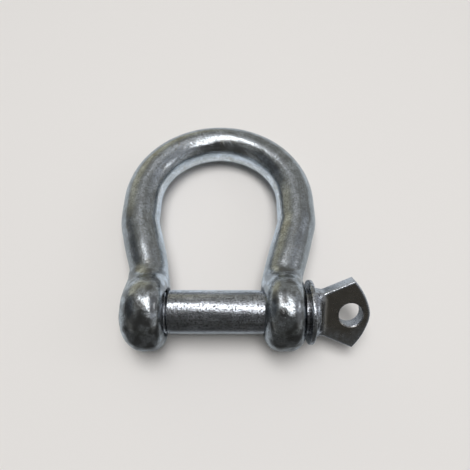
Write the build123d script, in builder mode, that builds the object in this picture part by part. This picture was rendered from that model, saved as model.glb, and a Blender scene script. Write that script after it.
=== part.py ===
from build123d import *
import os
from math import asin, cos, radians, sin, tan

# A commercial bow shackle with a screw pin, lying on its side.
# X runs along the pin, Y from the pin to the crown, and Z is up.
# The origin is on the pin's axis, halfway between the two eyes.

os.makedirs("parts", exist_ok=True)

# bow
wire_diameter = 9.9
eye_gap = 22.2
eye_diameter = 17.9
threaded_eye_width = 10.2
plain_eye_width = 9.6
crown_radius = 20.4  # centreline of the wire
crown_reach = 31.2  # pin's axis to the crown's centre
crown_offset = 0.3  # the forging isn't quite even
leg_straight = 7.0  # from the crown's arc to the knee
threaded_neck_reach = 10.2  # pin's axis to the bend above the eye
plain_neck_reach = 7.9
threaded_leg_bend = 13.0
plain_leg_bend = 8.0
threaded_eye_rounding = 5.4  # its outer rim
threaded_eye_inner_rounding = 3.0
plain_eye_rounding = 3.6
bore_chamfer = 0.4

# pin
pin_diameter = 10.0
thread_step = 0.15  # thread's crests are this much smaller in diameter than the pin
thread_pitch = 1.5
thread_depth = 0.85
thread_root_width = 0.24
thread_crest_width = 0.18
thread_runout = 0.9
shoulder_lead = 0.1  # shoulder past the eye's face, pin home
shoulder_chamfer = 0.3
tip_chamfer = 0.9
tip_inset = 0.2  # tip below the eye's outer face, pin home
collar_diameter = 14.8
collar_thickness = 1.1
collar_edge_rounding = 0.35
neck_length = 1.7
neck_rounding = 0.9

# tab, forged flat from the pin's end
tab_thickness = 3.75
tab_angle = 37.5  # degrees about the pin
tab_root_length = 0.5  # straight stretch before the flare
tab_flare = 23.5  # degrees on each side
tab_flare_length = 7.0
tab_tip_length = 3.95
tab_side_radius = 16.0
tab_tip_rounding = 6.0
tab_corner_rounding = 0.6
tab_edge_rounding = 0.35
lanyard_hole_diameter = 5.5
lanyard_hole_reach = 6.9  # from the neck to the hole's centre

# fits
thread_clearance = 0.1
plain_bore_clearance = 0.3
collar_gap = 0.6  # the pin is stored a little way off home
overlap = 0.5  # joined solids run into each other by this

# derived places
eye_radius = eye_diameter / 2
wire_radius = wire_diameter / 2
pin_radius = pin_diameter / 2
thread_radius = (pin_diameter - thread_step) / 2
collar_radius = collar_diameter / 2
threaded_bore_radius = thread_radius + thread_clearance
plain_bore_radius = pin_radius + plain_bore_clearance
eye_inner = eye_gap / 2
threaded_eye_outer = eye_inner + threaded_eye_width
plain_eye_outer = eye_inner + plain_eye_width
threaded_eye_middle = eye_inner + threaded_eye_width / 2
plain_eye_middle = eye_inner + plain_eye_width / 2
thread_tip = collar_gap + tip_inset - threaded_eye_outer
shoulder = collar_gap + shoulder_lead - eye_inner
collar_inner = plain_eye_outer + collar_gap
collar_outer = collar_inner + collar_thickness
neck_end = collar_outer + neck_length
flare_x = neck_end + tab_root_length
corner_x = flare_x + tab_flare_length
corner_y = pin_radius + tab_flare_length * tan(radians(tab_flare))
tip_x = corner_x + tab_tip_length

# The crown and both eyes rest on one floor, so the bow's plane leans.
bow_lean = asin((eye_radius - wire_radius) / (crown_reach + crown_radius))
bow_plane = Plane(origin=(0, 0, 0), x_dir=(1, 0, 0), z_dir=(0, sin(bow_lean), cos(bow_lean)))
tab_tilt = radians(tab_angle)
tab_plane = Plane(origin=(0, 0, 0), x_dir=(1, 0, 0), z_dir=(0, -sin(tab_tilt), cos(tab_tilt)))


def leg_points(side, eye_middle, neck_reach):
    """One leg from the crown's end to the pin's axis, in the bow's plane."""
    crown_end_x = crown_offset + side * crown_radius
    eye_x = side * eye_middle
    knee_y = crown_reach - leg_straight
    return [(crown_end_x, crown_reach), (crown_end_x, knee_y), (eye_x, neck_reach), (eye_x, 0)]


def bore_points(start_x, end_x, radius):
    """Half section of a bore with a chamfer at each end."""
    return [
        (start_x, 0),
        (start_x, radius + bore_chamfer),
        (start_x + bore_chamfer, radius),
        (end_x - bore_chamfer, radius),
        (end_x, radius + bore_chamfer),
        (end_x, 0),
    ]


with BuildPart() as bow:
    # wire, bent round the crown and down both legs
    with BuildLine(bow_plane) as centreline:
        plain_points = leg_points(1, plain_eye_middle, plain_neck_reach)
        plain_leg = FilletPolyline(*reversed(plain_points), radius=plain_leg_bend)
        CenterArc((crown_offset, crown_reach), crown_radius, 0, 180)
        threaded_points = leg_points(-1, threaded_eye_middle, threaded_neck_reach)
        FilletPolyline(*threaded_points, radius=threaded_leg_bend)
    with BuildSketch(Plane(origin=plain_leg @ 0, z_dir=plain_leg % 0)):
        Circle(wire_radius)
    sweep(path=centreline.wire())

    # threaded eye, on the -X side
    with BuildSketch(Plane.XY) as threaded_eye_profile:
        with Locations((-threaded_eye_middle, 0)):
            Rectangle(threaded_eye_width, eye_radius, align=(Align.CENTER, Align.MIN))
        inner_corner = threaded_eye_profile.vertices().group_by(Axis.X)[-1].sort_by(Axis.Y)[-1]
        fillet(inner_corner, threaded_eye_inner_rounding)
        outer_corner = threaded_eye_profile.vertices().group_by(Axis.X)[0].sort_by(Axis.Y)[-1]
        fillet(outer_corner, threaded_eye_rounding)
    revolve(axis=Axis.X)

    # plain eye, on the +X side
    with BuildSketch(Plane.XY) as plain_eye_profile:
        with Locations((plain_eye_middle, 0)):
            Rectangle(plain_eye_width, eye_radius, align=(Align.CENTER, Align.MIN))
        fillet(plain_eye_profile.vertices().group_by(Axis.Y)[-1], plain_eye_rounding)
    revolve(axis=Axis.X)

    # the wire is dressed flush with the eyes' four faces
    for face_x, outward in (
        (-threaded_eye_outer, -1),
        (-eye_inner, 1),
        (eye_inner, -1),
        (plain_eye_outer, 1),
    ):
        with BuildSketch(Plane(origin=(face_x, 0, 0), x_dir=(0, 1, 0), z_dir=(outward, 0, 0))):
            Circle(eye_radius)
        extrude(amount=wire_radius, mode=Mode.SUBTRACT)

    # bores: the threaded eye's is plain, at the thread's outer diameter
    with BuildSketch(Plane.XY):
        with BuildLine():
            Polyline(*bore_points(-threaded_eye_outer, -eye_inner, threaded_bore_radius), close=True)
        make_face()
        with BuildLine():
            Polyline(*bore_points(eye_inner, plain_eye_outer, plain_bore_radius), close=True)
        make_face()
    revolve(axis=Axis.X, mode=Mode.SUBTRACT)
bow.part.label = "bow"
export_step(bow.part, "parts/bow.step")


with BuildPart() as tab:
    # flared sides to two corners, then a rounded tip; its root is buried in the collar
    with BuildSketch(tab_plane) as tab_outline:
        with BuildLine():
            Polyline(
                (corner_x, corner_y),
                (flare_x, pin_radius),
                (collar_outer - overlap, pin_radius),
                (collar_outer - overlap, -pin_radius),
                (flare_x, -pin_radius),
                (corner_x, -corner_y),
            )
            RadiusArc((corner_x, -corner_y), (tip_x, 0), -tab_side_radius)
            RadiusArc((tip_x, 0), (corner_x, corner_y), -tab_side_radius)
        make_face()
        fillet(tab_outline.vertices().sort_by(Axis.X)[-1], tab_tip_rounding)
        corners = tab_outline.vertices().sort_by(Axis(origin=(0, 0, 0), direction=tab_plane.y_dir))
        fillet([corners[0], corners[-1]], tab_corner_rounding)
    extrude(amount=tab_thickness / 2, both=True)
    across_tab = Axis(origin=(0, 0, 0), direction=tab_plane.z_dir)
    tab_edges = tab.edges().filter_by_position(Axis.X, flare_x + overlap, tip_x).group_by(across_tab)
    fillet(tab_edges[0] + tab_edges[-1], tab_edge_rounding)

    # lanyard hole
    with BuildSketch(tab_plane):
        with Locations((neck_end + lanyard_hole_reach, 0)):
            Circle(lanyard_hole_diameter / 2)
    extrude(amount=tab_thickness, both=True, mode=Mode.SUBTRACT)


with BuildPart() as screw_pin:
    # round stock: threaded end, shank, collar and neck
    with BuildSketch(Plane.XY) as round_profile:
        with BuildLine():
            Polyline(
                (thread_tip, 0),
                (thread_tip, thread_radius - tip_chamfer),
                (thread_tip + tip_chamfer, thread_radius),
                (shoulder, thread_radius),
                (shoulder, pin_radius - shoulder_chamfer),
                (shoulder + shoulder_chamfer, pin_radius),
                (collar_inner, pin_radius),
                (collar_inner, collar_radius),
                (collar_outer, collar_radius),
                (collar_outer, pin_radius),
                (neck_end, pin_radius),
                (neck_end, 0),
                close=True,
            )
        make_face()
        fillet(round_profile.vertices().group_by(Axis.Y)[-1], collar_edge_rounding)
        fillet(round_profile.vertices().group_by(Axis.X)[-1].sort_by(Axis.Y)[-1], neck_rounding)
    revolve(axis=Axis.X)

    # thread groove, along its helix, run out before the shank
    with BuildLine() as groove_line:
        groove = Helix(
            thread_pitch,
            shoulder - thread_runout - thread_tip + thread_pitch,
            thread_radius,
            center=(thread_tip - thread_pitch, 0, 0),
            direction=(1, 0, 0),
        )
    with BuildSketch(Plane(origin=groove @ 0, x_dir=(1, 0, 0), z_dir=groove % 0)):
        with BuildLine():
            half_mouth = (thread_pitch - thread_crest_width) / 2
            half_root = thread_root_width / 2
            Polyline(
                (-half_mouth, 0),
                (-half_root, -thread_depth),
                (half_root, -thread_depth),
                (half_mouth, 0),
                (half_mouth, overlap),
                (-half_mouth, overlap),
                close=True,
            )
        make_face()
    sweep(path=groove_line.wire(), is_frenet=True, mode=Mode.SUBTRACT)

    add(tab.part)
screw_pin.part.label = "screw_pin"
export_step(screw_pin.part, "parts/screw_pin.step")
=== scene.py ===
import math

import bpy
import numpy as np
from mathutils import Matrix, Vector, noise


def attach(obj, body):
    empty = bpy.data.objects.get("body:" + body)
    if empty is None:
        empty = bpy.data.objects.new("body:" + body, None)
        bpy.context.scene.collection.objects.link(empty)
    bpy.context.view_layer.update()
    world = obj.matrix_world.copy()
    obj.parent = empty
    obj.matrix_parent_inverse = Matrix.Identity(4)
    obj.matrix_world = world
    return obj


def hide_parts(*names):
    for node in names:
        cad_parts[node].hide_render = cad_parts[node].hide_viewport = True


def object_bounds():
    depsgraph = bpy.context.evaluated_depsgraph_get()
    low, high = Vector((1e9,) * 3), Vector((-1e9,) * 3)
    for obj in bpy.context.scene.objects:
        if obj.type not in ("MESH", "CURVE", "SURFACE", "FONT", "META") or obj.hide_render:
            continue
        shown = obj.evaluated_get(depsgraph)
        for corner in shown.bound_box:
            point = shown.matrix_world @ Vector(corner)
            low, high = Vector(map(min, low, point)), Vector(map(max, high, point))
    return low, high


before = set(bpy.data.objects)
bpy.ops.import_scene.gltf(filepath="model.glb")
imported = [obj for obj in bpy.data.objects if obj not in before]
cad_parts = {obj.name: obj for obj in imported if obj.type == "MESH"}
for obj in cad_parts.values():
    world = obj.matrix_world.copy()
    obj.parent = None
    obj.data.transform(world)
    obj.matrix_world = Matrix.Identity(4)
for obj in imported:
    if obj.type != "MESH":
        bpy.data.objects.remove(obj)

# Bow shackle with a screw pin, lying on its side on a pale table.
# X runs along the pin, Y from the pin to the crown and Z is up.
# The forms are worked out in millimetres and scaled to metres when a piece is finished.

scene = bpy.context.scene
cadLow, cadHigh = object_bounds()
print("frame loaded, nodes:", ", ".join(sorted(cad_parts)))


# Mesh tools.

def newPiece(name, mesh):
    piece = bpy.data.objects.new(name, mesh)
    scene.collection.objects.link(piece)
    return piece


def meshFrom(name, points, faces):
    mesh = bpy.data.meshes.new(name)
    mesh.from_pydata([tuple(map(float, p)) for p in points], [], faces)
    mesh.validate()
    return mesh


def settled(piece):
    # the piece with its modifiers worked in, as a plain mesh
    graph = bpy.context.evaluated_depsgraph_get()
    mesh = bpy.data.meshes.new_from_object(piece.evaluated_get(graph))
    name = piece.name
    bpy.data.objects.remove(piece)
    return newPiece(name, mesh)


def joined(name, parts):
    # several closed shells in one mesh, ready for the voxel skin
    points, faces = [], []
    for part in parts:
        base = len(points)
        points += [v.co[:] for v in part.data.vertices]
        faces += [[base + i for i in p.vertices] for p in part.data.polygons]
        bpy.data.objects.remove(part)
    return newPiece(name, meshFrom(name, points, faces))


def voxelSkin(piece, voxel):
    skin = piece.modifiers.new("skin", "REMESH")
    skin.mode = "VOXEL"
    skin.voxel_size = voxel
    return settled(piece)


def cut(piece, tool, how):
    work = piece.modifiers.new(how.lower(), "BOOLEAN")
    work.operation = how
    work.solver = "MANIFOLD"
    work.object = tool
    done = settled(piece)
    bpy.data.objects.remove(tool)
    return done


def vertexArray(mesh):
    flat = np.empty(len(mesh.vertices) * 3)
    mesh.vertices.foreach_get("co", flat)
    return flat.reshape(-1, 3)


def layOnForm(piece, form, waviness, passes=4, reach=0.02):
    # moves every vertex of the skin onto the form, then adds the hammer's waviness
    points = vertexArray(piece.data)
    steps = np.eye(3) * reach
    for turn in range(passes):
        here = form(points)
        slope = np.stack([form(points + s) - here for s in steps], 1) / reach
        size = np.maximum((slope**2).sum(1), 0.2)
        points = points - slope * (here / size)[:, None]
    slope /= np.sqrt(np.maximum((slope**2).sum(1), 1e-6))[:, None]
    points = points + slope * waviness(points)[:, None]
    piece.data.vertices.foreach_set("co", points.ravel())
    piece.data.update()


def noiseAt(points, scale, seed):
    shift = Vector((seed * 7.31, seed * 3.17, seed * 5.73))
    return np.array([noise.noise(Vector(p) * scale + shift) for p in points])


def smoothUnion(a, b, blend):
    h = np.clip(0.5 + 0.5 * (b - a) / blend, 0, 1)
    return b + (a - b) * h - blend * h * (1 - h)


def smoothCut(a, b, blend):
    return -smoothUnion(-a, -b, blend)


def ease(low, high, value):
    t = np.clip((value - low) / (high - low), 0, 1)
    return t * t * (3 - 2 * t)


def lathe(name, profile, columns=144):
    # closed turned solid about X from (x, radius) points; the first and last lie on the axis
    turn = 2 * math.pi * np.arange(columns) / columns
    points, faces = [(profile[0][0], 0, 0)], []
    for x, radius in profile[1:-1]:
        points += [(x, radius * math.cos(t), radius * math.sin(t)) for t in turn]
    points.append((profile[-1][0], 0, 0))
    last = len(points) - 1
    rings = len(profile) - 2
    for c in range(columns):
        d = (c + 1) % columns
        faces.append((0, 1 + d, 1 + c))
        for r in range(rings - 1):
            a, b = 1 + r * columns, 1 + (r + 1) * columns
            faces.append((a + c, a + d, b + d, b + c))
        b = 1 + (rings - 1) * columns
        faces.append((b + c, b + d, last))
    return newPiece(name, meshFrom(name, points, faces))


def finishPiece(piece, name, body, node, material, edgeAngle):
    piece.data.transform(Matrix.Scale(0.001, 4))
    piece.name = piece.data.name = name
    piece.data.shade_smooth()
    piece.data.set_sharp_from_angle(angle=math.radians(edgeAngle))
    piece.data.materials.clear()
    piece.data.materials.append(material)
    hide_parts(node)
    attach(piece, body)
    print(f"{name}: {len(piece.data.vertices)} points, {len(piece.data.polygons)} faces")


# Geometry node trees.

def newTree(name, sizes):
    # a tree with named inputs; sizes is a list of (name, socket type, value)
    tree = bpy.data.node_groups.new(name, "GeometryNodeTree")
    face = tree.interface
    face.new_socket("Geometry", in_out="INPUT", socket_type="NodeSocketGeometry")
    for label, kind, value in sizes:
        socket = face.new_socket(label, in_out="INPUT", socket_type="NodeSocket" + kind)
        socket.default_value = value
    face.new_socket("Material", in_out="INPUT", socket_type="NodeSocketMaterial")
    face.new_socket("Geometry", in_out="OUTPUT", socket_type="NodeSocketGeometry")
    return tree


def addNode(tree, kind, settings=None, **inputs):
    node = tree.nodes.new(kind)
    for key, value in (settings or {}).items():
        setattr(node, key, value)
    for key, value in inputs.items():
        plug(tree, node, int(key[1:]) if key[1:].isdigit() else key.replace("_", " "), value)
    return node


def plug(tree, node, key, value):
    if hasattr(value, "is_output"):
        tree.links.new(value, node.inputs[key])
    else:
        node.inputs[key].default_value = value


def mathOf(tree, operation, *values, clamp=False):
    node = tree.nodes.new("ShaderNodeMath")
    node.operation = operation
    node.use_clamp = clamp
    for i, value in enumerate(values):
        plug(tree, node, i, value)
    return node.outputs[0]


def runTree(piece, tree, values):
    # inputs are set by the socket's identifier before the piece is first evaluated
    work = piece.modifiers.new(tree.name, "NODES")
    work.node_group = tree
    for item in tree.interface.items_tree:
        if item.item_type == "SOCKET" and item.in_out == "INPUT" and item.name in values:
            work[item.identifier] = values[item.name]
    return settled(piece)


def closeTree(tree, geometry, materialSocket):
    real = addNode(tree, "GeometryNodeRealizeInstances", s0=geometry)
    coat = addNode(tree, "GeometryNodeSetMaterial", Geometry=real.outputs[0], Material=materialSocket)
    out = tree.nodes.new("NodeGroupOutput")
    tree.links.new(coat.outputs[0], out.inputs["Geometry"])


def wireTree():
    # round stock swept along its centreline
    tree = newTree("wireAlongPath", [("Radius", "Float", 5.0), ("Step", "Float", 0.5), ("Sides", "Int", 48)])
    given = tree.nodes.new("NodeGroupInput").outputs
    path = addNode(tree, "GeometryNodeResampleCurve", s0=given["Geometry"])
    path.mode = "LENGTH"
    plug(tree, path, "Length", given["Step"])
    ring = addNode(
        tree, "GeometryNodeCurvePrimitiveCircle", Resolution=given["Sides"], Radius=given["Radius"],
    )
    tube = addNode(
        tree, "GeometryNodeCurveToMesh",
        Curve=path.outputs[0], Profile_Curve=ring.outputs[0], Fill_Caps=True,
    )
    closeTree(tree, tube.outputs[0], given["Material"])
    return tree


def threadTree():
    # a tube with a helical groove, cut inwards on a pin (Side 1) or outwards in a bore (Side -1)
    tree = newTree("screwThread", [
        ("Start", "Float", 0.0), ("Length", "Float", 10.0), ("Radius", "Float", 5.0),
        ("Pitch", "Float", 1.5), ("Depth", "Float", 0.8), ("Root Width", "Float", 0.2),
        ("Crest Width", "Float", 0.2), ("Side", "Float", 1.0), ("Chamfer", "Float", 0.5),
        ("Start Face", "Float", 0.0), ("End Face", "Float", 10.0), ("Fade Start", "Float", -100.0),
        ("Fade End", "Float", 100.0), ("Fade Length", "Float", 1.0), ("Phase", "Float", 0.0),
        ("Rows", "Int", 100), ("Columns", "Int", 97),
    ])
    given = tree.nodes.new("NodeGroupInput").outputs

    def calc(operation, *values, clamp=False):
        return mathOf(tree, operation, *values, clamp=clamp)

    rows = calc("ADD", given["Rows"], 1.0)
    gridRows = calc("ADD", given["Rows"], 2.0)
    grid = addNode(
        tree, "GeometryNodeMeshGrid",
        Size_X=1.0, Size_Y=rows, Vertices_X=given["Columns"], Vertices_Y=gridRows,
    )
    where = tree.nodes.new("ShaderNodeSeparateXYZ")
    tree.links.new(tree.nodes.new("GeometryNodeInputPosition").outputs[0], where.inputs[0])
    turn = calc("ADD", where.outputs[0], 0.5)  # 0 to 1 once round
    row = calc("ROUND", calc("ADD", where.outputs[1], calc("DIVIDE", rows, 2.0)))
    share = calc("DIVIDE", calc("SUBTRACT", row, 1.0), calc("SUBTRACT", given["Rows"], 1.0), clamp=True)
    along = calc("ADD", given["Start"], calc("MULTIPLY", share, given["Length"]))
    # distance from the groove's middle, along the axis
    lead = calc("SUBTRACT", calc("DIVIDE", along, given["Pitch"]), calc("ADD", turn, given["Phase"]))
    off = calc("ABSOLUTE", calc("SUBTRACT", calc("FRACT", calc("ADD", lead, 100.0)), 0.5))
    off = calc("MULTIPLY", off, given["Pitch"])
    halfRoot = calc("DIVIDE", given["Root Width"], 2.0)
    halfMouth = calc("DIVIDE", calc("SUBTRACT", given["Pitch"], given["Crest Width"]), 2.0)
    flank = calc(
        "SUBTRACT", 1.0,
        calc("DIVIDE", calc("SUBTRACT", off, halfRoot), calc("SUBTRACT", halfMouth, halfRoot), clamp=True),
    )
    fadeIn = calc("DIVIDE", calc("SUBTRACT", along, given["Fade Start"]), given["Fade Length"], clamp=True)
    fadeOut = calc("DIVIDE", calc("SUBTRACT", given["Fade End"], along), given["Fade Length"], clamp=True)
    groove = calc("MULTIPLY", calc("MULTIPLY", flank, given["Depth"]), calc("MULTIPLY", fadeIn, fadeOut))
    sided = calc("MULTIPLY", given["Radius"], given["Side"])
    edge = calc(
        "MINIMUM",
        calc("SUBTRACT", along, given["Start Face"]),
        calc("SUBTRACT", given["End Face"], along),
    )
    limit = calc("ADD", calc("SUBTRACT", sided, given["Chamfer"]), edge)
    radius = calc("MULTIPLY", calc("MINIMUM", calc("SUBTRACT", sided, groove), limit), given["Side"])
    # the first and last rows close on the axis
    endRow = calc("SUBTRACT", calc("DIVIDE", rows, 2.0), 0.5)
    inside = calc("LESS_THAN", calc("ABSOLUTE", where.outputs[1]), endRow)
    radius = calc("MULTIPLY", radius, inside)
    angle = calc("MULTIPLY", turn, 2 * math.pi)
    place = tree.nodes.new("ShaderNodeCombineXYZ")
    across = calc("MULTIPLY", radius, calc("COSINE", angle))
    upward = calc("MULTIPLY", radius, calc("SINE", angle))
    for socket, value in zip(place.inputs, (along, across, upward)):
        tree.links.new(value, socket)
    rolled = addNode(tree, "GeometryNodeSetPosition", Geometry=grid.outputs[0], Position=place.outputs[0])
    sealed = addNode(tree, "GeometryNodeMergeByDistance", Geometry=rolled.outputs[0], Distance=0.0005)
    closeTree(tree, sealed.outputs[0], given["Material"])
    return tree


def facingOut(piece):
    # turns a closed shell inside out where its volume comes out negative
    points = vertexArray(piece.data)
    volume = 0.0
    for p in piece.data.polygons:
        corners = [points[i] for i in p.vertices]
        for i in range(1, len(corners) - 1):
            volume += np.dot(corners[0], np.cross(corners[i], corners[i + 1]))
    if volume < 0:
        piece.data.flip_normals()
    return piece


def threadedTube(name, values):
    seedMesh = meshFrom(name, [(0, 0, 0), (1, 0, 0), (0, 1, 0)], [(0, 1, 2)])
    return facingOut(runTree(newPiece(name, seedMesh), threadTree(), values))


# Metal finish.

def smoothRange(tree, value, low, high, toLow=0.0, toHigh=1.0):
    node = addNode(tree, "ShaderNodeMapRange", {"interpolation_type": "SMOOTHSTEP"}, Value=value)
    for key, number in (("From Min", low), ("From Max", high), ("To Min", toLow), ("To Max", toHigh)):
        node.inputs[key].default_value = number
    return node.outputs[0]


def mixTone(tree, share, first, second):
    # each tone is a socket or an RGB triple
    node = addNode(tree, "ShaderNodeMix", {"data_type": "RGBA"})
    plug(tree, node, 0, share)
    for key, tone in ((6, first), (7, second)):
        plug(tree, node, key, tone if hasattr(tone, "is_output") else (*tone, 1))
    return node.outputs[2]


# the noise values between which each pattern of the plating fades in
patternPlan = {
    "mottle": (0.36, 0.64),
    "stain": (0.54, 0.68),
    "streak": (0.40, 0.62),
    "speck": (0.37, 0.51),
    "satin": (0.25, 0.55),
    "gloss": (0.36, 0.62),
    "pits": (0.30, 0.46),
    "satinLeast": 0.65,
    "mattShare": 0.5,
    "recessRough": 0.15,
}


def paint(name, plan):
    # bright zinc over forged steel: mottled reflectance, cloudy gloss, fine peel and grain
    material = bpy.data.materials.new(name)
    material.use_nodes = True
    tree = material.node_tree
    tree.nodes.clear()
    out = tree.nodes.new("ShaderNodeOutputMaterial")
    metal = tree.nodes.new("ShaderNodeBsdfPrincipled")
    tree.links.new(metal.outputs[0], out.inputs[0])
    metal.inputs["Metallic"].default_value = 1.0
    objectSpace = tree.nodes.new("ShaderNodeTexCoord").outputs["Object"]

    def stretched(source, scale):
        node = addNode(tree, "ShaderNodeMapping", Vector=source)
        node.inputs["Scale"].default_value = scale
        return node.outputs[0]

    def cloud(source, size, detail=3.0, rough=0.55, warp=0.0):
        return addNode(
            tree, "ShaderNodeTexNoise", Vector=source, Scale=1.0 / size,
            Detail=detail, Roughness=rough, Distortion=warp,
        ).outputs["Fac"]

    def fade(value, pattern, toLow=0.0, toHigh=1.0):
        return smoothRange(tree, value, *patternPlan[pattern], toLow, toHigh)

    def stored(label, output="Fac"):
        return addNode(tree, "ShaderNodeAttribute", {"attribute_name": label}).outputs[output]

    def times(a, b):
        return mathOf(tree, "MULTIPLY", a, b)

    def plus(a, b):
        return mathOf(tree, "ADD", a, b)

    # streaks follow the wire on the bow and the axis on the pin
    if plan["grainAttribute"]:
        along = stored(plan["grainAttribute"], "Vector")
    else:
        along = stretched(objectSpace, (plan["grainSquash"], 1, 1))
    mottle = cloud(objectSpace, plan["mottleSize"], 4.0, 0.6, 0.4)
    streak = cloud(along, plan["streakSize"], 4.0, 0.65)
    speck = cloud(objectSpace, plan["speckSize"], 2.0, 0.6)
    stain = cloud(objectSpace, plan["stainSize"], 5.0, 0.65, 0.8)

    tone = mixTone(tree, fade(mottle, "mottle"), plan["cool"], plan["bright"])
    tone = mixTone(tree, fade(stain, "stain", 0.0, plan["stainShare"]), tone, plan["stain"])
    tone = mixTone(tree, fade(streak, "streak", plan["streakShare"], 0.0), tone, plan["dull"])
    tone = mixTone(tree, fade(speck, "speck", plan["speckShare"], 0.0), tone, plan["dull"])
    satin = times(stored("satin"), fade(speck, "satin", patternPlan["satinLeast"], 1.0))
    tone = mixTone(tree, satin, tone, plan["satin"])
    matt = stored("matt")
    tone = mixTone(tree, times(matt, patternPlan["mattShare"]), tone, plan["dull"])
    # worn rim, and painted sheen on the tab's lower side
    tone = mixTone(tree, stored("wearAndSheen"), tone, plan["bright"])
    # painted shade: the recess mask darkens the tone
    tone = mixTone(tree, stored("recessShade"), tone, plan["recessShade"])
    tree.links.new(tone, metal.inputs["Base Color"])

    gloss = plus(times(streak, 0.5), times(mottle, 0.5))
    rough = fade(gloss, "gloss", plan["roughLow"], plan["roughHigh"])
    rough = plus(rough, times(stored("recessShade"), patternPlan["recessRough"]))
    rough = plus(rough, times(satin, plan["satinRough"]))
    rough = plus(rough, times(matt, plan["mattRough"]))
    tree.links.new(rough, metal.inputs["Roughness"])

    peel = times(cloud(objectSpace, plan["peelSize"], 3.0, 0.6), plan["peelShare"])
    lines = times(cloud(along, plan["lineSize"], 3.0, 0.6), plan["lineShare"])
    pitted = mathOf(tree, "SUBTRACT", 1.0, stored("satin"))  # the satin patches have no pits
    pits = times(fade(speck, "pits"), times(pitted, plan["pitShare"]))
    height = plus(plus(peel, lines), pits)
    bump = addNode(tree, "ShaderNodeBump", Height=height, Strength=1.0, Distance=plan["bumpDepth"])
    tree.links.new(bump.outputs[0], metal.inputs["Normal"])
    return material


# Bow.

bowPlan = {
    "wireRadius": 4.95,
    "crownRadius": 20.4,
    "crownReach": 31.2,
    "crownOffset": 0.3,
    "legStraight": 7.0,
    "eyeRadius": 8.95,
    "eyeInner": 11.1,
    "threadedEyeWidth": 10.2,
    "plainEyeWidth": 9.6,
    "threadedNeckY": 10.2,
    "plainNeckY": 7.9,
    "threadedBend": 13.0,
    "plainBend": 8.0,
    "threadedOuterRounding": 5.4,
    "threadedInnerRounding": 3.0,
    "plainRounding": 3.6,
    "eyeCrowning": 0.32,
    "threadedNeck": {"y": 10.4, "reach": 1.8, "reachUp": 5.5, "depth": 0.28, "blend": 1.8},
    "plainNeck": {"y": 9.2, "reach": 1.9, "reachUp": 5.0, "depth": 0.15, "blend": 2.1},
    "threadedBore": 5.03,
    "threadPitch": 1.5,
    "threadDepth": 0.6,
    "plainBore": 5.3,
    "boreChamfer": 0.4,
    "seatRadius": 7.9,
    "seatBlend": 0.3,
    "dressTop": 7.0,
    "dressBlend": 0.4,
    "voxel": 0.285,
    "wireWave": 0.035,
    "eyeWave": 0.085,
    "waveFade": (7.5, 11.0),
    "broadWaveSize": 3.4,
    "fineWaveSize": 1.5,
    "fineShare": 0.35,
    "eyeFineShare": 0.25,
    "waveSink": 1.3,
    "grainFade": (8.5, 11.5),
    "grainSquash": 0.16,
    "creaseWidth": 0.45,
    "mattStart": (8.5, 11.0),
    "mattEnd": (14.0, 22.0),
    "patchSize": 1.6,
    "blotchSize": 1.8,
    "legBlotchSize": 3.5,
    "mattSize": 1.2,
    "edgeAngle": 38,
}


def unit(vector):
    return vector / np.linalg.norm(vector)


def bentRuns(corners, bend):
    # straight stretches and arcs of a bent leg: ("line", a, b) and ("arc", centre, a, b)
    corners = [np.array(c, float) for c in corners]
    runs, start = [], corners[0]
    for before, corner, after in zip(corners, corners[1:], corners[2:]):
        back, ahead = unit(before - corner), unit(after - corner)
        half = math.acos(float(np.dot(back, ahead))) / 2
        reach = bend / math.tan(half)
        centre = corner + unit(back + ahead) * bend / math.sin(half)
        runs.append(("line", start, corner + back * reach))
        runs.append(("arc", centre, corner + back * reach, corner + ahead * reach))
        start = corner + ahead * reach
    return runs + [("line", start, corners[-1])]


def legCorners(plan, side, eyeX, neckY):
    crownX = plan["crownOffset"] + side * plan["crownRadius"]
    kneeY = plan["crownReach"] - plan["legStraight"]
    return [(crownX, plan["crownReach"]), (crownX, kneeY), (eyeX, neckY), (eyeX, 0)]


plainEyeOuter = bowPlan["eyeInner"] + bowPlan["plainEyeWidth"]
threadedEyeOuter = -bowPlan["eyeInner"] - bowPlan["threadedEyeWidth"]
plainEyeX = bowPlan["eyeInner"] + bowPlan["plainEyeWidth"] / 2
threadedEyeX = -bowPlan["eyeInner"] - bowPlan["threadedEyeWidth"] / 2
plainLeg = bentRuns(legCorners(bowPlan, 1, plainEyeX, bowPlan["plainNeckY"]), bowPlan["plainBend"])
threadedLeg = bentRuns(
    legCorners(bowPlan, -1, threadedEyeX, bowPlan["threadedNeckY"]), bowPlan["threadedBend"],
)
crownCentre = np.array([bowPlan["crownOffset"], bowPlan["crownReach"]])
leanSine = (bowPlan["eyeRadius"] - bowPlan["wireRadius"]) / (bowPlan["crownReach"] + bowPlan["crownRadius"])
bowLean = math.asin(leanSine)


def toBowPlane(points):
    c, s = math.cos(bowLean), math.sin(bowLean)
    return points[:, 0], points[:, 1] * c - points[:, 2] * s, points[:, 1] * s + points[:, 2] * c


def fromBowPlane(u, v, w=0.0):
    c, s = math.cos(bowLean), math.sin(bowLean)
    return (u, v * c + w * s, -v * s + w * c)


def crossOf(a, b):
    return a[..., 0] * b[..., 1] - a[..., 1] * b[..., 0]


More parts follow.
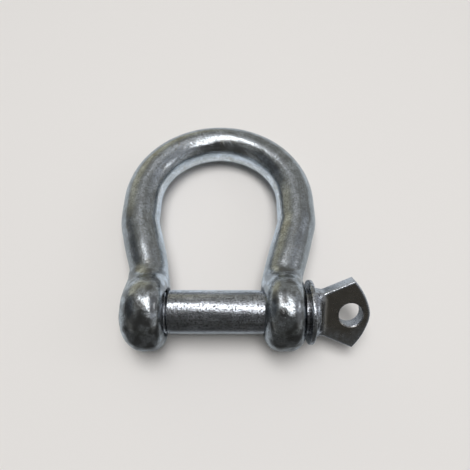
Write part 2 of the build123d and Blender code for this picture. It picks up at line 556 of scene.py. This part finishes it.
def nearestOnRun(run, spots):
    # distance, signed side and length along one run
    if run[0] == "line":
        first, second = run[1], run[2]
        way = second - first
        length = float(np.linalg.norm(way))
        t = np.clip((spots - first) @ way / length**2, 0, 1)
        off = spots - (first + t[:, None] * way)
        return np.linalg.norm(off, axis=1), crossOf(way / length, off), t * length, length
    centre, first, second = run[1], run[2], run[3]
    a, b = first - centre, second - centre
    bend = float(np.linalg.norm(a))
    sweep = math.atan2(float(crossOf(a, b)), float(np.dot(a, b)))
    way = 1.0 if sweep >= 0 else -1.0
    q = spots - centre
    angle = np.arctan2(crossOf(a, q), q @ a) * way
    inside = (angle >= 0) & (angle <= abs(sweep))
    gap = np.linalg.norm(q, axis=1) - bend
    reach = np.clip(angle, 0, abs(sweep)) * bend
    return np.where(inside, np.abs(gap), 1e3), -way * gap, reach, abs(sweep) * bend


def reversedRuns(runs):
    back = []
    for run in reversed(runs):
        back.append(("line", run[2], run[1]) if run[0] == "line" else ("arc", run[1], run[3], run[2]))
    return back


crownStart = crownCentre + np.array([bowPlan["crownRadius"], 0.0])
crownTop = crownCentre + np.array([0.0, bowPlan["crownRadius"]])
crownEnd = crownCentre - np.array([bowPlan["crownRadius"], 0.0])
bowRuns = reversedRuns(plainLeg) + [
    ("arc", crownCentre, crownStart, crownTop), ("arc", crownCentre, crownTop, crownEnd),
] + threadedLeg


def alongWire(u, v):
    # distance, side and length along the whole centreline, from the plain eye to the threaded one
    spots = np.stack([u, v], 1)
    best = np.full(len(spots), 1e6)
    side, along, base = np.zeros(len(spots)), np.zeros(len(spots)), 0.0
    for run in bowRuns:
        gap, way, t, length = nearestOnRun(run, spots)
        nearer = gap < best
        best = np.where(nearer, gap, best)
        side = np.where(nearer, way, side)
        along = np.where(nearer, base + t, along)
        base += length
    return best, side, along


def wireRadiusAt(u, v):
    # the hammer pinched each leg above its eye
    radius = np.full(len(u), bowPlan["wireRadius"])
    for key, share in (("threadedNeck", u < 0), ("plainNeck", u > 0)):
        neck = bowPlan[key]
        reach = np.where(v > neck["y"], neck["reachUp"], neck["reach"])
        pinch = np.exp(-(((v - neck["y"]) / reach) ** 2) * 2)
        radius = radius - np.where(share, neck["depth"] * pinch, 0)
    return radius


def eyeForm(x, spread, middle, width, roundingLow, roundingHigh):
    # turned about X: a slightly crowned barrel with a rounding at each end
    half = width / 2
    rounding = np.where(x < middle, roundingLow, roundingHigh)
    offset = (x - middle) / half
    edge = bowPlan["eyeRadius"] - bowPlan["eyeCrowning"] * offset**2
    qx = np.abs(x - middle) - half + rounding
    qr = spread - edge + rounding
    return np.hypot(np.maximum(qx, 0), np.maximum(qr, 0)) + np.minimum(np.maximum(qx, qr), 0) - rounding


def bowForm(points):
    u, v, w = toBowPlane(points)
    gap, side, along = alongWire(u, v)
    wire = np.hypot(gap, w) - wireRadiusAt(u, v)
    # the wire is dressed back to the eyes' faces
    middle = np.where(u > 0, plainEyeX, threadedEyeX)
    half = np.where(u > 0, bowPlan["plainEyeWidth"], bowPlan["threadedEyeWidth"]) / 2
    dressed = np.abs(u - middle) - half - np.maximum(v - bowPlan["dressTop"], 0)
    wire = smoothCut(wire, dressed, bowPlan["dressBlend"])
    spread = np.hypot(points[:, 1], points[:, 2])
    threaded = eyeForm(
        u, spread, threadedEyeX, bowPlan["threadedEyeWidth"],
        bowPlan["threadedOuterRounding"], bowPlan["threadedInnerRounding"],
    )
    plain = eyeForm(
        u, spread, plainEyeX, bowPlan["plainEyeWidth"], bowPlan["plainRounding"], bowPlan["plainRounding"],
    )
    body = smoothUnion(wire, threaded, bowPlan["threadedNeck"]["blend"])
    body = smoothUnion(body, plain, bowPlan["plainNeck"]["blend"])
    # the plain eye's outer face is cut flat where the pin's collar seats
    seat = np.minimum(u - plainEyeOuter, bowPlan["seatRadius"] - spread)
    return smoothCut(body, seat, bowPlan["seatBlend"])


def bowWave(points):
    plan = bowPlan
    eyeShare = 1 - ease(*plan["waveFade"], toBowPlane(points)[1])
    broad = noiseAt(points, 1 / plan["broadWaveSize"], 1)
    fine = noiseAt(points, 1 / plan["fineWaveSize"], 2)
    wave = broad + (plan["fineShare"] + plan["eyeFineShare"] * eyeShare) * fine
    amount = plan["wireWave"] + (plan["eyeWave"] - plan["wireWave"]) * eyeShare
    return wave * amount - amount * plan["waveSink"]


def bowBlank():
    # round stock swept along the centreline, with a plain barrel at each eye
    path = []
    for run in bowRuns:
        for t in np.linspace(0, 1, 24, endpoint=False):
            if run[0] == "line":
                spot = run[1] + (run[2] - run[1]) * t
            else:
                a, b = run[2] - run[1], run[3] - run[1]
                angle = math.atan2(float(crossOf(a, b)), float(np.dot(a, b))) * t
                c, s = math.cos(angle), math.sin(angle)
                spot = run[1] + np.array([a[0] * c - a[1] * s, a[0] * s + a[1] * c])
            path.append(fromBowPlane(*spot))
    path.append(fromBowPlane(*bowRuns[-1][2]))
    curve = bpy.data.curves.new("bowCentreline", "CURVE")
    curve.dimensions = "3D"
    spline = curve.splines.new("POLY")
    spline.points.add(len(path) - 1)
    for point, spot in zip(spline.points, path):
        point.co = (*spot, 1)
    wire = runTree(newPiece("bowWire", curve), wireTree(), {
        "Radius": bowPlan["wireRadius"], "Step": 0.6, "Sides": 64,
    })
    barrels = []
    for middle, width in ((plainEyeX, bowPlan["plainEyeWidth"]), (threadedEyeX, bowPlan["threadedEyeWidth"])):
        low, high, r = middle - width / 2, middle + width / 2, bowPlan["eyeRadius"]
        barrels.append(lathe("barrel", [
            (low, 0), (low, r - 2.6), (low + 0.9, r - 0.8), (low + 2.6, r),
            (high - 2.6, r), (high - 0.9, r - 0.8), (high, r - 2.6), (high, 0),
        ]))
    return voxelSkin(joined("bowBlank", [wire, *barrels]), bowPlan["voxel"])


def storeOn(mesh, label, values, kind="FLOAT"):
    layer = mesh.attributes.new(label, kind, "POINT")
    field = "vector" if kind == "FLOAT_VECTOR" else "value"
    layer.data.foreach_set(field, np.ascontiguousarray(values).ravel())


def markBow(piece):
    # grain runs along the wire, and painted shade darkens the creases at the necks and the bores
    plan = bowPlan
    points = vertexArray(piece.data)
    u, v, w = toBowPlane(points)
    gap, side, along = alongWire(u, v)
    eyeShare = 1 - ease(*plan["grainFade"], v)
    lengthways = np.stack([along * plan["grainSquash"], side, w], 1)
    grain = (lengthways * (1 - eyeShare[:, None]) + points * eyeShare[:, None]) * 0.001
    spread = np.hypot(points[:, 1], points[:, 2])
    wire = np.hypot(gap, w) - wireRadiusAt(u, v)
    crease = np.exp(-(((spread - plan["eyeRadius"] + 0.1) / plan["creaseWidth"]) ** 2))
    crease *= np.exp(-((wire / 0.6) ** 2))
    crease *= ease(2.0, 6.0, v)
    bore = (spread < plan["plainBore"] + 0.45) & (np.abs(v) < 6)
    patchy = 0.5 + 0.9 * noiseAt(points, 1 / plan["patchSize"], 11)
    # painted shade: dark tone laid in patches along the neck creases, and over the bores all through
    recessShade = np.clip(crease * 0.6 * patchy, 0, 1)
    recessShade = np.where(bore, 0.8, recessShade)
    blotch = eyeShare * ease(-0.15, 0.32, noiseAt(points, 1 / plan["blotchSize"], 14)) * (1 - recessShade)
    legBlotch = ease(0.1, 0.45, noiseAt(points, 1 / plan["legBlotchSize"], 15))
    blotch += (1 - eyeShare) * 0.35 * legBlotch
    matt = ease(*plan["mattStart"], v) * (1 - ease(*plan["mattEnd"], v))
    matt *= 0.6 + 0.4 * noiseAt(points, 1 / plan["mattSize"], 16)
    storeOn(piece.data, "matt", matt)
    storeOn(piece.data, "satin", blotch * 0.8)
    storeOn(piece.data, "grain", grain, "FLOAT_VECTOR")
    storeOn(piece.data, "recessShade", recessShade)


bowFinish = {
    "satin": (0.20, 0.20, 0.20),
    "satinRough": -0.03,
    "mattRough": 0.12,
    "pitShare": 0.45,
    "grainAttribute": "grain",
    "mottleSize": 0.0030,
    "streakSize": 0.0011,
    "speckSize": 0.00042,
    "stainSize": 0.0060,
    "cool": (0.54, 0.58, 0.62),
    "bright": (0.74, 0.79, 0.85),
    "dull": (0.30, 0.31, 0.31),
    "stain": (0.41, 0.395, 0.34),
    # painted shade colour for the neck creases and the bores
    "recessShade": (0.10, 0.11, 0.13),
    "stainShare": 0.65,
    "streakShare": 0.45,
    "speckShare": 0.7,
    "roughLow": 0.09,
    "roughHigh": 0.20,
    "peelSize": 0.00045,
    "peelShare": 1.0,
    "lineSize": 0.00045,
    "lineShare": 0.5,
    "bumpDepth": 0.00003,
}


def threadedBore():
    plan = bowPlan
    return threadedTube("threadedBore", {
        "Start": threadedEyeOuter - 1.0,
        "Length": plan["threadedEyeWidth"] + 2.0,
        "Radius": plan["threadedBore"],
        "Pitch": plan["threadPitch"],
        "Depth": plan["threadDepth"],
        "Root Width": 0.2,
        "Crest Width": 0.25,
        "Side": -1.0,
        "Chamfer": plan["boreChamfer"],
        "Start Face": threadedEyeOuter,
        "End Face": -plan["eyeInner"],
        "Phase": 0.5,
        "Rows": 122,
        "Columns": 97,
    })


def plainBore():
    low, high = bowPlan["eyeInner"], plainEyeOuter
    bore, chamfer = bowPlan["plainBore"], bowPlan["boreChamfer"]
    return facingOut(lathe("plainBore", [
        (low - 1, 0), (low - 1, bore + chamfer + 1), (low + chamfer, bore),
        (high - chamfer, bore), (high + 1, bore + chamfer + 1), (high + 1, 0),
    ]))


def forgeBow():
    bow = bowBlank()
    layOnForm(bow, bowForm, bowWave)
    print("bow form laid:", len(bow.data.vertices), "points")
    bow = cut(bow, threadedBore(), "DIFFERENCE")
    bow = cut(bow, plainBore(), "DIFFERENCE")
    markBow(bow)
    zinc = paint("forgedZinc", bowFinish)
    finishPiece(bow, "forged_bow", "bow", "bow", zinc, bowPlan["edgeAngle"])


forgeBow()


# Screw pin.

pinPlan = {
    "shankRadius": 5.0,
    "threadRadius": 4.925,
    "pitch": 1.5,
    "threadDepth": 0.85,
    "rootWidth": 0.24,
    "crestWidth": 0.18,
    "runOut": 0.9,
    "tip": -20.5,
    "tipChamfer": 0.9,
    "shoulder": -10.4,
    "shoulderChamfer": 0.3,
    "collarStart": 21.3,
    "collarEnd": 22.4,
    "collarRadius": 7.4,
    "collarEdge": 0.35,
    "rootInset": 0.5,
    "neckEnd": 24.1,
    "neckRounding": 1.5,
    "neckBlend": 2.0,
    "tabAngle": 37.5,
    "tabHalf": 1.875,
    "tabEdge": 0.4,
    "flareStart": 24.6,
    "cornerX": 31.6,
    "cornerV": 8.04,
    "tipX": 35.55,
    "sideRadius": 16.0,
    "tipRounding": 6.0,
    "holeX": 31.0,
    "holeRadius": 2.75,
    "holeChamfer": 0.3,
    "drillReach": 4.0,
    "voxel": 0.14,
    "headWave": 0.02,
    "shankWave": 0.012,
    "faceFade": (23.6, 26.0),
    "rimFade": (24.2, 25.2),
    "rimBand": (-0.75, -0.2),
    # where the painted sheen on the tab's lower side fades in, and how strong the worn rim and painted sheen
    # are
    "lowSheenBand": (-4.0, -0.4),
    "wearAndSheenShare": 0.55,
    "edgeAngle": 34,
}


tabTurn = math.radians(pinPlan["tabAngle"])


def arcBetween(start, end, radius, count):
    # shallow arc that bulges away from the origin's side of the chord
    start, end = np.array(start, float), np.array(end, float)
    middle, chord = (start + end) / 2, end - start
    away = unit(np.array([chord[1], -chord[0]]))
    if away[0] < 0:
        away = -away
    centre = middle - away * math.sqrt(radius**2 - (np.linalg.norm(chord) / 2) ** 2)
    first, second = start - centre, end - centre
    low = math.atan2(first[1], first[0])
    sweep = math.atan2(float(crossOf(first, second)), float(np.dot(first, second)))
    return [centre + radius * np.array([math.cos(low + sweep * t), math.sin(low + sweep * t)])
            for t in np.linspace(0, 1, count)]


def tabOutline(plan):
    # half outline, from the neck's side out to the corner and round to the tip
    half = [(plan["collarEnd"] - 1.0, plan["shankRadius"]), (plan["flareStart"], plan["shankRadius"])]
    side = arcBetween((plan["cornerX"], plan["cornerV"]), (plan["tipX"], 0.0), plan["sideRadius"], 40)
    # the tip is a round of its own that touches both sides
    last = np.array(side)
    tries = np.linspace(plan["tipX"] - 3 * plan["tipRounding"], plan["tipX"], 1200)
    tipCentre = next(x for x in tries if np.min(np.hypot(last[:, 0] - x, last[:, 1])) <= plan["tipRounding"])
    touch = int(np.argmin(np.hypot(last[:, 0] - tipCentre, last[:, 1])))
    start = math.atan2(last[touch][1], last[touch][0] - tipCentre)
    for p in side[:touch]:
        half.append(tuple(p))
    for t in np.linspace(start, 0, 14):
        half.append((tipCentre + plan["tipRounding"] * math.cos(t), plan["tipRounding"] * math.sin(t)))
    return np.array(half)


halfOutline = tabOutline(pinPlan)


def toTabPlane(points):
    c, s = math.cos(tabTurn), math.sin(tabTurn)
    return points[:, 0], points[:, 1] * c + points[:, 2] * s, -points[:, 1] * s + points[:, 2] * c


def outlineGap(x, v):
    # signed distance to the tab's outline, which is the same on both sides of its middle
    spots = np.stack([x, np.abs(v)], 1)
    gap = np.full(len(spots), 1e6)
    crossings = np.zeros(len(spots), int)
    for a, b in zip(halfOutline, halfOutline[1:]):
        way = b - a
        t = np.clip((spots - a) @ way / float(way @ way), 0, 1)
        gap = np.minimum(gap, np.linalg.norm(spots - (a + t[:, None] * way), axis=1))
        spans = (a[0] <= spots[:, 0]) != (b[0] <= spots[:, 0])
        rise = a[1] + (spots[:, 0] - a[0]) * (way[1] / way[0] if abs(way[0]) > 1e-9 else 0)
        crossings += spans & (rise > spots[:, 1])
    return np.where(crossings % 2 == 1, -gap, gap)


def headForm(points):
    x, v, w = toTabPlane(points)
    plan = pinPlan
    edge = plan["tabEdge"]
    qa, qb = outlineGap(x, v) + edge, np.abs(w) - plan["tabHalf"] + edge
    tab = np.hypot(np.maximum(qa, 0), np.maximum(qb, 0)) + np.minimum(np.maximum(qa, qb), 0) - edge
    spread = np.hypot(v, w)
    r = plan["neckRounding"]
    qx, qr = x - plan["neckEnd"] + r, spread - plan["shankRadius"] + r
    neck = np.hypot(np.maximum(qx, 0), np.maximum(qr, 0)) + np.minimum(np.maximum(qx, qr), 0) - r
    root = (plan["collarStart"] + plan["rootInset"]) - x  # both end inside the collar
    return smoothUnion(np.maximum(tab, root), np.maximum(neck, root), plan["neckBlend"])


def headWave(points):
    return (noiseAt(points, 1 / 2.6, 5) + 0.4 * noiseAt(points, 1 / 1.1, 6) - 0.9) * pinPlan["headWave"]


def headBlank():
    c, s = math.cos(tabTurn), math.sin(tabTurn)
    across, normal = np.array([0, c, s]), np.array([0, -s, c])
    ring = [(x, v) for x, v in halfOutline] + [(x, -v) for x, v in halfOutline[::-1][1:]]
    points = []
    for face in (-1, 1):
        points += [np.array([x, 0, 0]) + across * v + normal * face * pinPlan["tabHalf"] for x, v in ring]
    n = len(ring)
    faces = [tuple(range(n - 1, -1, -1)), tuple(range(n, 2 * n))]
    faces += [(i, (i + 1) % n, n + (i + 1) % n, n + i) for i in range(n)]
    slab = facingOut(newPiece("tabSlab", meshFrom("tabSlab", points, faces)))
    start = pinPlan["collarStart"] + pinPlan["rootInset"]
    end, r = pinPlan["neckEnd"], pinPlan["shankRadius"]
    neck = facingOut(lathe("neckStock", [(start, 0), (start, r), (end, r), (end, 0)]))
    return voxelSkin(joined("headBlank", [slab, neck]), pinPlan["voxel"])


def shankBlank():
    plan = pinPlan
    profile = [(plan["shoulder"], 0), (plan["shoulder"], plan["shankRadius"] - plan["shoulderChamfer"])]
    start = plan["shoulder"] + plan["shoulderChamfer"]
    profile += [(x, plan["shankRadius"]) for x in np.arange(start, plan["collarStart"], 0.45)]
    profile.append((plan["collarStart"], plan["shankRadius"]))
    e, r = plan["collarEdge"], plan["collarRadius"]
    profile.append((plan["collarStart"], plan["shankRadius"] + 0.6))
    for x, turn in ((plan["collarStart"] + e, (180, 90)), (plan["collarEnd"] - e, (90, 0))):
        for a in np.linspace(*turn, 6):
            profile.append((x + e * math.cos(math.radians(a)), r - e + e * math.sin(math.radians(a))))
    profile += [(plan["collarEnd"], plan["shankRadius"] - 0.6), (plan["collarEnd"], 0)]
    shank = facingOut(lathe("shank", profile))
    points = vertexArray(shank.data)
    spread = np.hypot(points[:, 1], points[:, 2])
    squashed = points * np.array([0.18, 1, 1])
    wave = (noiseAt(squashed, 1 / 1.7, 8) - 0.9) * plan["shankWave"]
    wave = np.where(spread > 4.0, wave, 0)
    points[:, 1:] *= (1 + wave / np.maximum(spread, 1))[:, None]
    shank.data.vertices.foreach_set("co", points.ravel())
    shank.data.update()
    return shank


def markPin(piece):
    # painted shade darkens the thread's roots, the collar's corners and the lanyard hole's rim; the tab is
    # dull with a bright worn rim, and a painted sheen lightens its lower side
    plan = pinPlan
    points = vertexArray(piece.data)
    x, v, w = toTabPlane(points)
    spread = np.hypot(v, w)
    root = np.clip((plan["threadRadius"] - spread) / plan["threadDepth"], 0, 1) * (x < plan["shoulder"])
    underCollar = np.exp(-(((x - plan["collarStart"]) / 0.35) ** 2)) * (spread < 5.3)
    behind = np.exp(-(((x - plan["collarEnd"]) / 0.3) ** 2)) * (spread < 5.5)
    hole = np.exp(-(((np.hypot(x - plan["holeX"], v) - plan["holeRadius"]) / 0.2) ** 2)) * 0.25
    # painted shade: the roots, the collar's corners and the hole's rim take the dark tone
    recessShade = np.clip(root * 0.8 + underCollar * 0.8 + behind * 0.6 + hole, 0, 1)
    face = ease(*plan["faceFade"], x) * ease(plan["tabHalf"] - 0.35, plan["tabHalf"] - 0.1, np.abs(w))
    inset = outlineGap(x, v)
    # painted sheen: a band inside the outline on the tab's lower side is lightened
    lowSheen = ease(-1.0, -5.0, v) * ease(*plan["lowSheenBand"], inset)
    lowSheen = np.clip(lowSheen * (0.5 + 0.5 * noiseAt(points, 1 / 0.9, 17)), 0, 1)
    # worn rim and painted sheen share one mask
    rim = np.maximum(ease(*plan["rimBand"], inset), lowSheen) * ease(*plan["rimFade"], x)
    storeOn(piece.data, "recessShade", recessShade)
    storeOn(piece.data, "satin", face * (1 - rim))
    storeOn(piece.data, "wearAndSheen", rim * plan["wearAndSheenShare"])


pinFinish = {
    "satin": (0.34, 0.315, 0.28),
    "satinRough": 0.10,
    "mattRough": 0.0,
    "pitShare": 0.8,
    "grainAttribute": "",
    "grainSquash": 0.14,
    "mottleSize": 0.0026,
    "streakSize": 0.0007,
    "speckSize": 0.00038,
    "stainSize": 0.0045,
    "cool": (0.58, 0.61, 0.66),
    "bright": (0.76, 0.80, 0.87),
    "dull": (0.17, 0.175, 0.19),
    "stain": (0.48, 0.45, 0.41),
    # painted shade colour for the thread's roots, the collar's corners and the hole's rim
    "recessShade": (0.10, 0.10, 0.11),
    "stainShare": 0.45,
    "streakShare": 0.3,
    "speckShare": 0.9,
    "roughLow": 0.10,
    "roughHigh": 0.20,
    "peelSize": 0.00042,
    "peelShare": 1.0,
    "lineSize": 0.00040,
    "lineShare": 0.3,
    "bumpDepth": 0.00004,
}


def lanyardDrill():
    half, hole, chamfer = pinPlan["tabHalf"], pinPlan["holeRadius"], pinPlan["holeChamfer"]
    end = pinPlan["drillReach"]
    wide = hole + chamfer + end - half
    drill = facingOut(lathe("drill", [
        (-end, 0), (-end, wide), (-half + chamfer, hole), (half - chamfer, hole), (end, wide), (end, 0),
    ], 96))
    place = Matrix.Translation((pinPlan["holeX"], 0, 0))
    turn = Matrix.Rotation(tabTurn, 4, "X") @ Matrix.Rotation(-math.pi / 2, 4, "Y")
    drill.data.transform(place @ turn)
    return drill


def screwEnd():
    plan = pinPlan
    return threadedTube("thread", {
        "Start": plan["tip"],
        "Length": plan["shoulder"] + 0.4 - plan["tip"],
        "Radius": plan["threadRadius"],
        "Pitch": plan["pitch"],
        "Depth": plan["threadDepth"],
        "Root Width": plan["rootWidth"],
        "Crest Width": plan["crestWidth"],
        "Side": 1.0,
        "Chamfer": plan["tipChamfer"],
        "Start Face": plan["tip"],
        "End Face": 1000.0,
        "Fade End": plan["shoulder"] - 0.1,
        "Fade Length": plan["runOut"],
        "Rows": 127,
        "Columns": 121,
    })


def forgePin():
    head = headBlank()
    layOnForm(head, headForm, headWave)
    print("tab form laid:", len(head.data.vertices), "points")
    head = cut(head, lanyardDrill(), "DIFFERENCE")
    pin = cut(shankBlank(), screwEnd(), "UNION")
    pin = cut(pin, head, "UNION")
    markPin(pin)
    zinc = paint("pinZinc", pinFinish)
    finishPiece(pin, "forged_pin", "screw_pin", "screw_pin", zinc, pinPlan["edgeAngle"])


forgePin()


# Table, room, lights and camera.

studioPlan = {
    "tableSize": 1.6,
    "tableRough": 0.9,
    "tableTone": (0.80, 0.775, 0.755),
    # table tones painted into the metal's reflections only
    "paintedInnerReflection": (0.78, 0.84, 0.90),
    "paintedFarReflection": (0.98, 1.0, 1.0),
    "paintedOuterReflection": (0.56, 0.59, 0.61),
    "bowCentre": (0.0003, 0.0311, 0.0),
    "innerReach": 0.019,
    "outerReach": 0.029,
    "farStart": 0.034,
    "farEnd": 0.044,
    "paintedFrontShade": (0.07, 0.07, 0.068),
    "frontStart": -0.005,
    "frontEnd": -0.020,
    "backdrop": (0.78, 0.775, 0.77),
    "roomBase": (0.27, 0.27, 0.255),
    "panelAim": (0.0, 0.02, 0.0),
}

panels = {
    "overheadPanel": {"place": (0.03, 0.04, 0.6), "size": (0.60, 0.16), "power": 2.75, "glossy": True},
    "sidePanel": {"place": (0.50, 0.03, 0.34), "size": (0.16, 0.16), "power": 1.2, "glossy": True},
    "fillPanel": {"place": (0.0, 0.05, 0.8), "size": (0.45, 0.45), "power": 5.65, "glossy": False},
}


def tableTop(plan):
    # painted reflection: in glossy rays only, the table is bright and bluish inside the bow, brighter still
    # beyond it, duller round it, and painted dark shade in front
    half = plan["tableSize"] / 2
    z = cadLow[2]
    corners = [(-half, -half, z), (half, -half, z), (half, half, z), (-half, half, z)]
    table = newPiece("table", meshFrom("table", corners, [(0, 1, 2, 3)]))
    material = bpy.data.materials.new("paleTable")
    material.use_nodes = True
    tree = material.node_tree
    board = tree.nodes["Principled BSDF"]
    board.inputs["Roughness"].default_value = plan["tableRough"]
    board.inputs["Specular IOR Level"].default_value = 0.1
    spot = tree.nodes.new("ShaderNodeTexCoord").outputs["Object"]
    alongY = addNode(tree, "ShaderNodeSeparateXYZ", Vector=spot).outputs[1]
    away = addNode(tree, "ShaderNodeVectorMath", {"operation": "DISTANCE"}, s0=spot, s1=plan["bowCentre"])
    far = smoothRange(tree, alongY, plan["farStart"], plan["farEnd"])
    ring = smoothRange(tree, away.outputs["Value"], plan["innerReach"], plan["outerReach"])
    front = smoothRange(tree, alongY, plan["frontStart"], plan["frontEnd"])
    paintedReflection = mixTone(tree, far, plan["paintedInnerReflection"], plan["paintedFarReflection"])
    paintedReflection = mixTone(tree, ring, paintedReflection, plan["paintedOuterReflection"])
    paintedReflection = mixTone(tree, front, paintedReflection, plan["paintedFrontShade"])
    # painted reflection: glossy rays see the zoned tones, other rays the plain table tone
    glossy = tree.nodes.new("ShaderNodeLightPath").outputs["Is Glossy Ray"]
    tree.links.new(mixTone(tree, glossy, plan["tableTone"], paintedReflection), board.inputs["Base Color"])
    table.data.materials.append(material)


def panel(name, plan):
    light = bpy.data.lights.new(name, "AREA")
    light.shape = "RECTANGLE"
    light.size, light.size_y = plan["size"]
    light.energy = plan["power"] * light.size * light.size_y * math.pi  # even radiance whatever the size
    lamp = bpy.data.objects.new(name, light)
    lamp.location = plan["place"]
    lamp.rotation_mode = "QUATERNION"
    aim = Vector(studioPlan["panelAim"]) - Vector(plan["place"])
    lamp.rotation_quaternion = aim.to_track_quat("-Z", "Y")
    lamp.visible_glossy = plan["glossy"]
    scene.collection.objects.link(lamp)


# patches of the room: azimuth from +X and angle from straight up, in degrees, then the widths
# between which the patch fades out, then its radiance
roomPatches = [
    (90, 24, 6, 24, (0.55, 0.55, 0.55)),
    (0, 48, 14, 46, (0.36, 0.37, 0.39)),
    (120, 80, 12, 34, (0.46, 0.44, 0.34)),
    (180, 60, 14, 40, (0.085, 0.09, 0.095)),
    (240, 60, 12, 36, (0.13, 0.13, 0.125)),
    (270, 82, 24, 52, (0.065, 0.065, 0.06)),
    (270, 42, 20, 40, (0.083, 0.083, 0.08)),
]


def room():
    world = bpy.data.worlds.new("studio")
    world.use_nodes = True
    scene.world = world
    tree = world.node_tree
    direction = tree.nodes.new("ShaderNodeTexCoord").outputs["Generated"]
    tone = studioPlan["roomBase"]
    for azimuth, polar, inner, outer, radiance in roomPatches:
        a, p = math.radians(azimuth), math.radians(polar)
        middle = (math.cos(a) * math.sin(p), math.sin(a) * math.sin(p), math.cos(p))
        facing = addNode(tree, "ShaderNodeVectorMath", {"operation": "DOT_PRODUCT"}, s0=direction, s1=middle)
        low, high = math.cos(math.radians(outer)), math.cos(math.radians(inner))
        patch = smoothRange(tree, facing.outputs["Value"], low, high)
        tone = mixTone(tree, patch, tone, radiance)
    # straight at the camera the room is as plain and pale as the table
    view = tree.nodes.new("ShaderNodeLightPath").outputs["Is Camera Ray"]
    tone = mixTone(tree, view, tone, studioPlan["backdrop"])
    tree.links.new(tone, tree.nodes["Background"].inputs["Color"])


cameraPlan = {
    "place": (0.00433, -0.02627, 0.09366),
    "aim": (0.0046, 0.01982, 0.0),
    "roll": -0.411,
    "lens": 31.64,
}


def standCamera(plan):
    data = bpy.data.cameras.new("camera")
    data.sensor_width = 36
    data.lens = plan["lens"]
    data.clip_start = 0.001
    camera = bpy.data.objects.new("camera", data)
    scene.collection.objects.link(camera)
    ahead = (Vector(plan["aim"]) - Vector(plan["place"])).normalized()
    right = ahead.cross(Vector((0, 0, 1))).normalized()
    up = right.cross(ahead)
    roll = math.radians(plan["roll"])
    up = up * math.cos(roll) + right * math.sin(roll)
    right = ahead.cross(up)
    camera.matrix_world = Matrix((
        (right.x, up.x, -ahead.x, plan["place"][0]),
        (right.y, up.y, -ahead.y, plan["place"][1]),
        (right.z, up.z, -ahead.z, plan["place"][2]),
        (0, 0, 0, 1),
    ))
    scene.camera = camera


tableTop(studioPlan)
room()
for panelName, panelPlan in panels.items():
    panel(panelName, panelPlan)
standCamera(cameraPlan)
scene.view_settings.view_transform = "Standard"
print("table, room and camera set")
